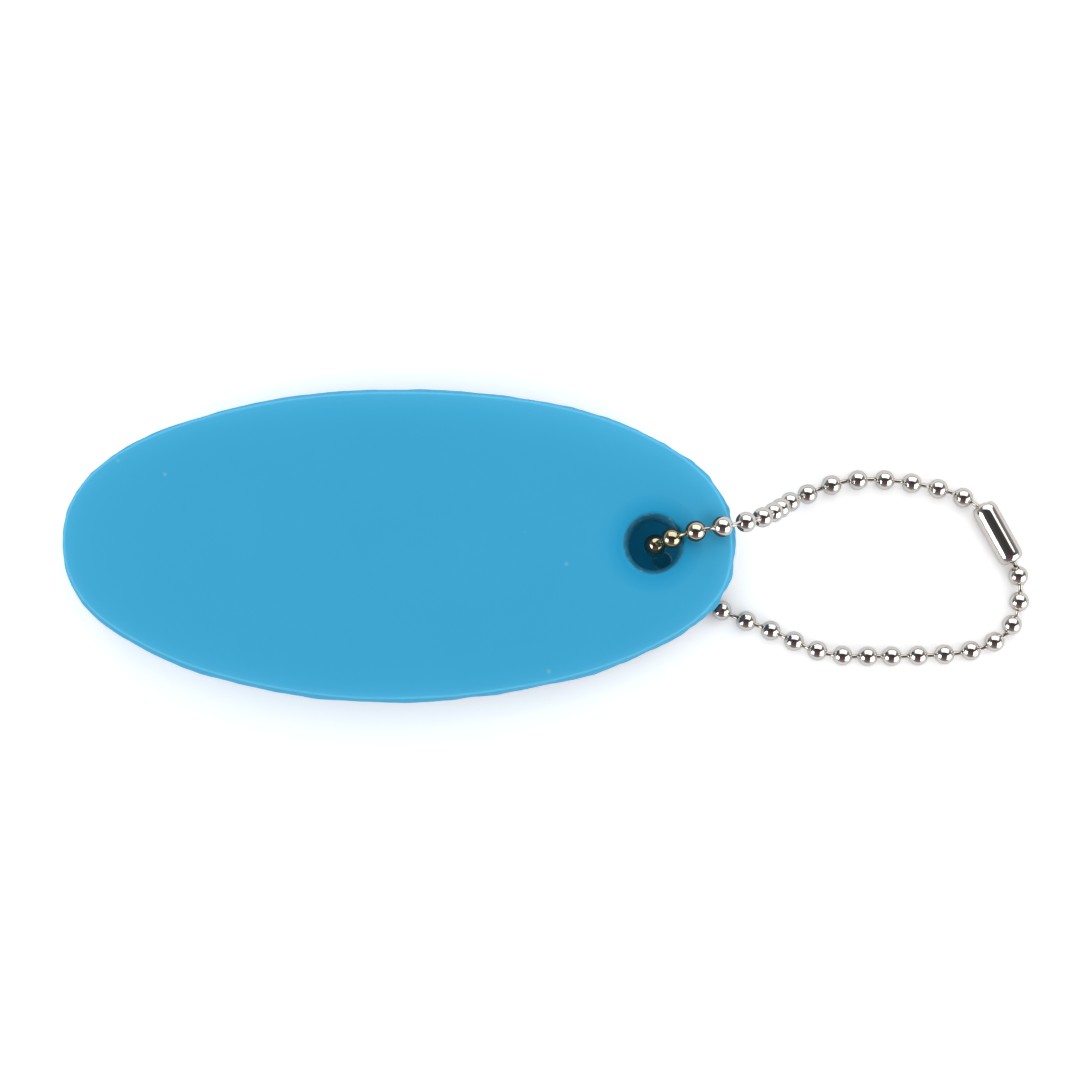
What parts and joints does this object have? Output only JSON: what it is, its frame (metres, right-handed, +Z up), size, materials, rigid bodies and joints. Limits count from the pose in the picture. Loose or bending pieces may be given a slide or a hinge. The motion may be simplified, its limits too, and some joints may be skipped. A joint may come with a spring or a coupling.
{
  "type": "floating keychain",
  "caption": "Oval foam float with a ball chain threaded through its end hole; the chain closes in a split tube clasp and carries keys, which the float keeps from sinking.",
  "frame": {"origin": "under the middle of the whole object as it lies, on the table", "axes": "+X along the float from its plain end towards the chain end, +Y across the float, +Z up from the table"},
  "size_m": [0.1527, 0.049, 0.0218],
  "materials": {
    "float_skin": "satin sky-blue vinyl skin over closed-cell foam",
    "chain_nickel": "bright nickel plate",
    "clasp_nickel": "bright nickel plate"
  },
  "bodies": {
    "float": {"float_body": "float_skin", "chain_ball_01": "chain_nickel", "chain_ball_37": "chain_nickel", "chain_ball_38": "chain_nickel"},
    "ball_02": {"chain_ball_02": "chain_nickel"},
    "ball_03": {"chain_ball_03": "chain_nickel"},
    "ball_04": {"chain_ball_04": "chain_nickel"},
    "ball_05": {"chain_ball_05": "chain_nickel"},
    "ball_06": {"chain_ball_06": "chain_nickel"},
    "ball_07": {"chain_ball_07": "chain_nickel"},
    "ball_08": {"chain_ball_08": "chain_nickel"},
    "ball_09": {"chain_ball_09": "chain_nickel"},
    "ball_10": {"chain_ball_10": "chain_nickel"},
    "ball_11": {"chain_ball_11": "chain_nickel"},
    "ball_12": {"chain_ball_12": "chain_nickel"},
    "ball_13": {"chain_ball_13": "chain_nickel"},
    "ball_14": {"chain_ball_14": "chain_nickel"},
    "ball_15": {"chain_ball_15": "chain_nickel"},
    "ball_16": {"chain_ball_16": "chain_nickel"},
    "ball_19": {"chain_ball_19": "chain_nickel"},
    "ball_20": {"chain_ball_20": "chain_nickel"},
    "ball_21": {"chain_ball_21": "chain_nickel"},
    "ball_22": {"chain_ball_22": "chain_nickel"},
    "ball_23": {"chain_ball_23": "chain_nickel"},
    "ball_24": {"chain_ball_24": "chain_nickel"},
    "ball_25": {"chain_ball_25": "chain_nickel"},
    "ball_26": {"chain_ball_26": "chain_nickel"},
    "ball_27": {"chain_ball_27": "chain_nickel"},
    "ball_28": {"chain_ball_28": "chain_nickel"},
    "ball_29": {"chain_ball_29": "chain_nickel"},
    "ball_30": {"chain_ball_30": "chain_nickel"},
    "ball_31": {"chain_ball_31": "chain_nickel"},
    "ball_32": {"chain_ball_32": "chain_nickel"},
    "ball_33": {"chain_ball_33": "chain_nickel"},
    "ball_34": {"chain_ball_34": "chain_nickel"},
    "ball_35": {"chain_ball_35": "chain_nickel"},
    "ball_36": {"chain_ball_36": "chain_nickel"},
    "clasp": {"chain_clasp": "clasp_nickel", "chain_ball_17": "chain_nickel", "chain_ball_18": "chain_nickel"}
  },
  "joints": [
    {"name": "ball_02_swivel", "type": "hinge", "parent": "float", "child": "ball_02", "pos_m": [0.01676, 0.00008, 0.01651], "axis": [0.3904, -0.9207, 0], "range_deg": [0, 18]},
    {"name": "ball_03_swivel", "type": "hinge", "parent": "ball_02", "child": "ball_03", "pos_m": [0.01981, 0.0012, 0.01926], "axis": [0.2853, -0.9585, 0], "range_deg": [0, 18]},
    {"name": "ball_04_swivel", "type": "hinge", "parent": "ball_03", "child": "ball_04", "pos_m": [0.0237, 0.0021, 0.0204], "axis": [0.1249, -0.9922, 0], "range_deg": [0, 18]},
    {"name": "ball_05_swivel", "type": "hinge", "parent": "ball_04", "child": "ball_05", "pos_m": [0.02783, 0.00275, 0.01992], "axis": [0.2195, -0.9756, 0], "range_deg": [0, 18]},
    {"name": "ball_06_swivel", "type": "hinge", "parent": "ball_05", "child": "ball_06", "pos_m": [0.03125, 0.00361, 0.01766], "axis": [0.299, -0.9543, 0], "range_deg": [-8, 18]},
    {"name": "ball_07_swivel", "type": "hinge", "parent": "ball_06", "child": "ball_07", "pos_m": [0.03371, 0.00455, 0.01437], "axis": [-0.4811, 0.8767, 0], "range_deg": [-18, 18]},
    {"name": "ball_08_swivel", "type": "hinge", "parent": "ball_07", "child": "ball_08", "pos_m": [0.03544, 0.00553, 0.0106], "axis": [0.5303, -0.8478, 0], "range_deg": [-18, 18]},
    {"name": "ball_09_swivel", "type": "hinge", "parent": "ball_08", "child": "ball_09", "pos_m": [0.03678, 0.00647, 0.00687], "axis": [-0.6251, 0.7806, 0], "range_deg": [-18, 18]},
    {"name": "ball_10_swivel", "type": "hinge", "parent": "ball_09", "child": "ball_10", "pos_m": [0.03892, 0.00777, 0.00359], "axis": [0.3944, -0.9189, 0], "range_deg": [-18, 14]},
    {"name": "ball_11_swivel", "type": "hinge", "parent": "ball_10", "child": "ball_11", "pos_m": [0.04235, 0.00925, 0.00172], "axis": [-0.3961, 0.9182, 0], "range_deg": [-8, 18]},
    {"name": "ball_12_swivel", "type": "hinge", "parent": "ball_11", "child": "ball_12", "pos_m": [0.04641, 0.01064, 0.00156], "axis": [0.184, -0.9829, 0], "range_deg": [-18, 18]},
    {"name": "ball_13_swivel", "type": "hinge", "parent": "ball_12", "child": "ball_13", "pos_m": [0.05067, 0.01112, 0.00161], "axis": [0.0188, 0.9998, 0], "range_deg": [-18, 18]},
    {"name": "ball_14_swivel", "type": "hinge", "parent": "ball_13", "child": "ball_14", "pos_m": [0.05497, 0.0109, 0.0016], "axis": [-0.1144, -0.9934, 0], "range_deg": [-18, 18]},
    {"name": "ball_15_swivel", "type": "hinge", "parent": "ball_14", "child": "ball_15", "pos_m": [0.05925, 0.01025, 0.00161], "axis": [0.2156, 0.9765, 0], "range_deg": [-18, 18]},
    {"name": "ball_16_swivel", "type": "hinge", "parent": "ball_15", "child": "ball_16", "pos_m": [0.06342, 0.00923, 0.00158], "axis": [-0.2806, -0.9598, 0], "range_deg": [-18, 18]},
    {"name": "clasp_swivel", "type": "hinge", "parent": "ball_16", "child": "clasp", "pos_m": [0.06731, 0.00753, 0.00167], "axis": [0.6057, 0.7957, 0], "range_deg": [-18, 18]},
    {"name": "ball_36_swivel", "type": "hinge", "parent": "float", "child": "ball_36", "pos_m": [0.0169, -0.00058, 0.00524], "axis": [0.8452, 0.5344, 0], "range_deg": [0, 18]},
    {"name": "ball_35_swivel", "type": "hinge", "parent": "ball_36", "child": "ball_35", "pos_m": [0.01857, -0.00279, 0.00234], "axis": [0.7534, 0.6575, 0], "range_deg": [0, 18]},
    {"name": "ball_34_swivel", "type": "hinge", "parent": "ball_35", "child": "ball_34", "pos_m": [0.02153, -0.00584, 0.00139], "axis": [0.6498, 0.7601, 0], "range_deg": [0, 18]},
    {"name": "ball_33_swivel", "type": "hinge", "parent": "ball_34", "child": "ball_33", "pos_m": [0.02499, -0.00848, 0.00166], "axis": [0.5203, 0.854, 0], "range_deg": [0, 18]},
    {"name": "ball_32_swivel", "type": "hinge", "parent": "ball_33", "child": "ball_32", "pos_m": [0.02871, -0.01048, 0.00158], "axis": [-0.3853, -0.9228, 0], "range_deg": [-18, 18]},
    {"name": "ball_31_swivel", "type": "hinge", "parent": "ball_32", "child": "ball_31", "pos_m": [0.03267, -0.01203, 0.00161], "axis": [0.3263, 0.9453, 0], "range_deg": [-18, 18]},
    {"name": "ball_30_swivel", "type": "hinge", "parent": "ball_31", "child": "ball_30", "pos_m": [0.03655, -0.01358, 0.0016], "axis": [-0.4467, -0.8947, 0], "range_deg": [-18, 18]},
    {"name": "ball_29_swivel", "type": "hinge", "parent": "ball_30", "child": "ball_29", "pos_m": [0.04023, -0.01534, 0.0016], "axis": [0.4059, 0.9139, 0], "range_deg": [-18, 18]},
    {"name": "ball_28_swivel", "type": "hinge", "parent": "ball_29", "child": "ball_28", "pos_m": [0.044, -0.01665, 0.0016], "axis": [-0.1967, -0.9805, 0], "range_deg": [-18, 18]},
    {"name": "ball_27_swivel", "type": "hinge", "parent": "ball_28", "child": "ball_27", "pos_m": [0.04807, -0.01713, 0.0016], "axis": [-0.0251, 0.9997, 0], "range_deg": [-18, 18]},
    {"name": "ball_26_swivel", "type": "hinge", "parent": "ball_27", "child": "ball_26", "pos_m": [0.05207, -0.0171, 0.0016], "axis": [-0.0194, -0.9998, 0], "range_deg": [-18, 18]},
    {"name": "ball_25_swivel", "type": "hinge", "parent": "ball_26", "child": "ball_25", "pos_m": [0.05587, -0.01709, 0.0016], "axis": [-0.0343, 0.9994, 0], "range_deg": [-18, 18]},
    {"name": "ball_24_swivel", "type": "hinge", "parent": "ball_25", "child": "ball_24", "pos_m": [0.06007, -0.01695, 0.0016], "axis": [0.0291, -0.9996, 0], "range_deg": [-18, 18]},
    {"name": "ball_23_swivel", "type": "hinge", "parent": "ball_24", "child": "ball_23", "pos_m": [0.06427, -0.01668, 0.0016], "axis": [-0.1272, 0.9919, 0], "range_deg": [-18, 18]},
    {"name": "ball_22_swivel", "type": "hinge", "parent": "ball_23", "child": "ball_22", "pos_m": [0.06844, -0.01588, 0.0016], "axis": [0.3027, -0.9531, 0], "range_deg": [-18, 18]},
    {"name": "ball_21_swivel", "type": "hinge", "parent": "ball_22", "child": "ball_21", "pos_m": [0.07207, -0.01405, 0.0016], "axis": [-0.6714, 0.7411, 0], "range_deg": [-18, 18]},
    {"name": "ball_20_swivel", "type": "hinge", "parent": "ball_21", "child": "ball_20", "pos_m": [0.07434, -0.01081, 0.00161], "axis": [0.9716, -0.2367, 0], "range_deg": [-18, 18]},
    {"name": "ball_19_swivel", "type": "hinge", "parent": "ball_20", "child": "ball_19", "pos_m": [0.07498, -0.00692, 0.00158], "axis": [-0.9993, 0.0381, 0], "range_deg": [-18, 18]}
  ]
}
